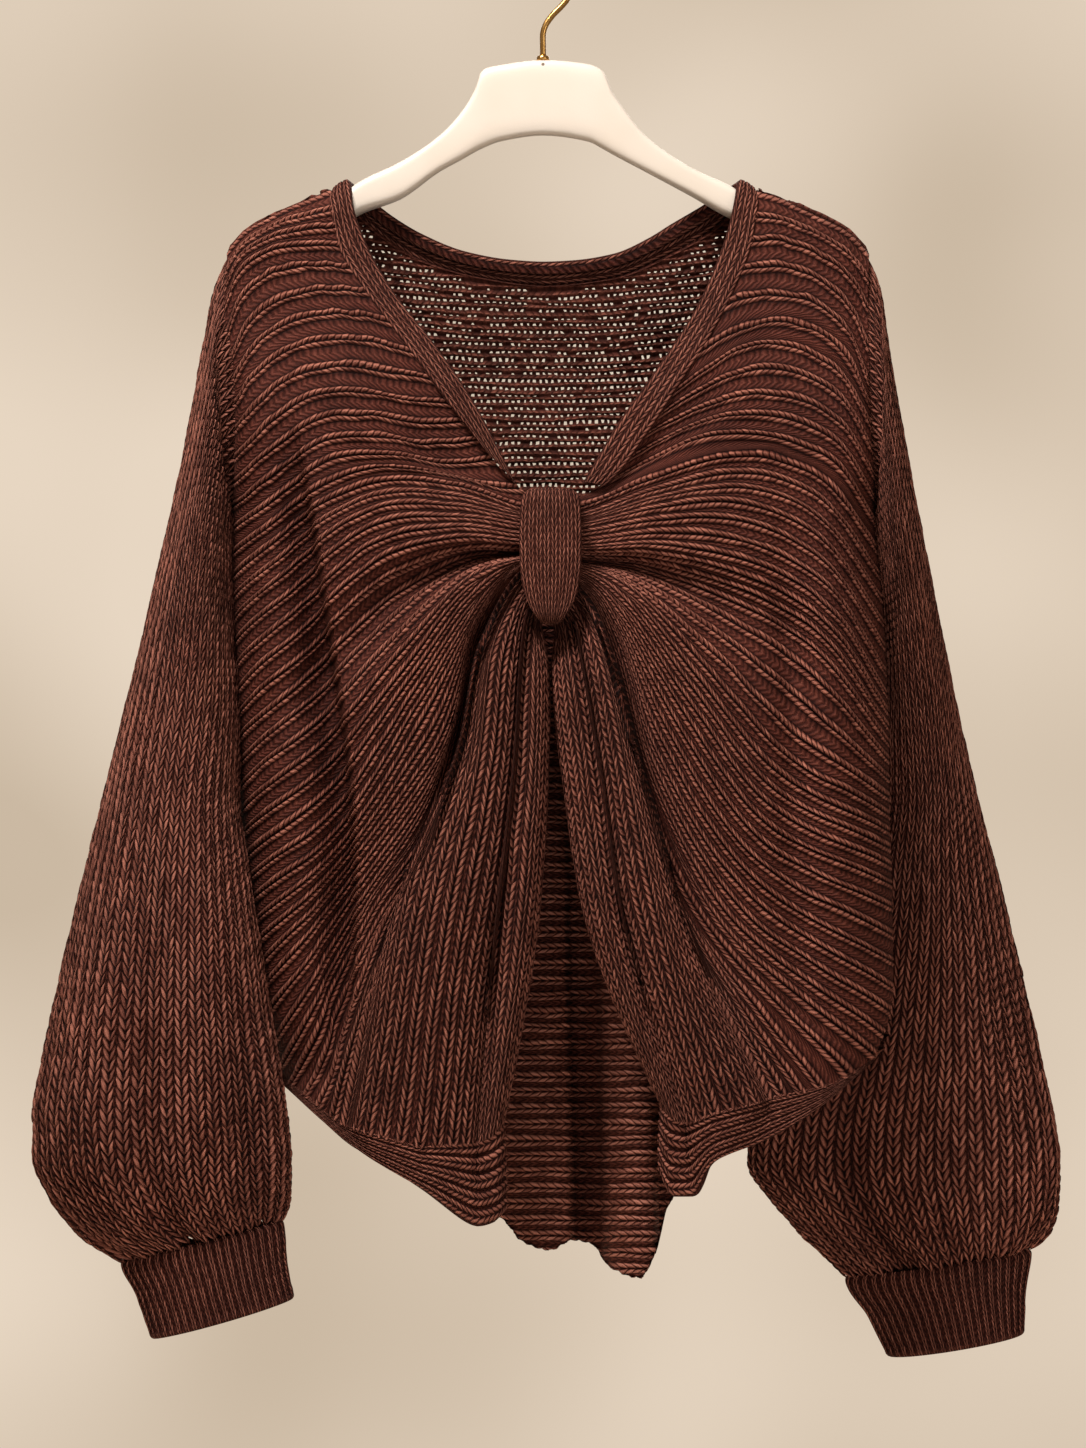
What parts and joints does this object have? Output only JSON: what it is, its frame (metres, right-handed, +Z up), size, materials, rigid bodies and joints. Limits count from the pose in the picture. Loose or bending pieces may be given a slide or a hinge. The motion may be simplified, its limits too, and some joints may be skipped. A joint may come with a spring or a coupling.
{
  "type": "twist front knit top on a hanger",
  "caption": "Brown chunky rib-knit top with a V neck, fronts gathered into a knitted loop over an open hem, full sleeves and ribbed cuffs, hung on a wide contoured hanger.",
  "frame": {"origin": "inner crest of the hanger's hook, where the rail bears", "axes": "+Z up, -Y the wearer's front and the viewer's side, +X the wearer's left"},
  "size_m": [0.6828, 0.205, 0.9347],
  "materials": {
    "knit_body": "chunky sideways rib and plain knit in a softly shining brown yarn",
    "knit_bands": "fine rib bands in the same brown yarn",
    "hanger_white": "satin warm white lacquer",
    "hanger_brass": "polished pale brass wire"
  },
  "bodies": {
    "root": {"front_left": "knit_body", "front_right": "knit_body", "back": "knit_body", "sleeve_left": "knit_body", "sleeve_right": "knit_body", "cuff_left": "knit_bands", "cuff_right": "knit_bands", "neckband": "knit_bands", "front_loop": "knit_bands", "hem_front_left": "knit_bands", "hem_front_right": "knit_bands", "hanger_body": "hanger_white", "hanger_ferrule": "hanger_brass", "hanger_hook": "hanger_brass"}
  },
  "joints": []
}
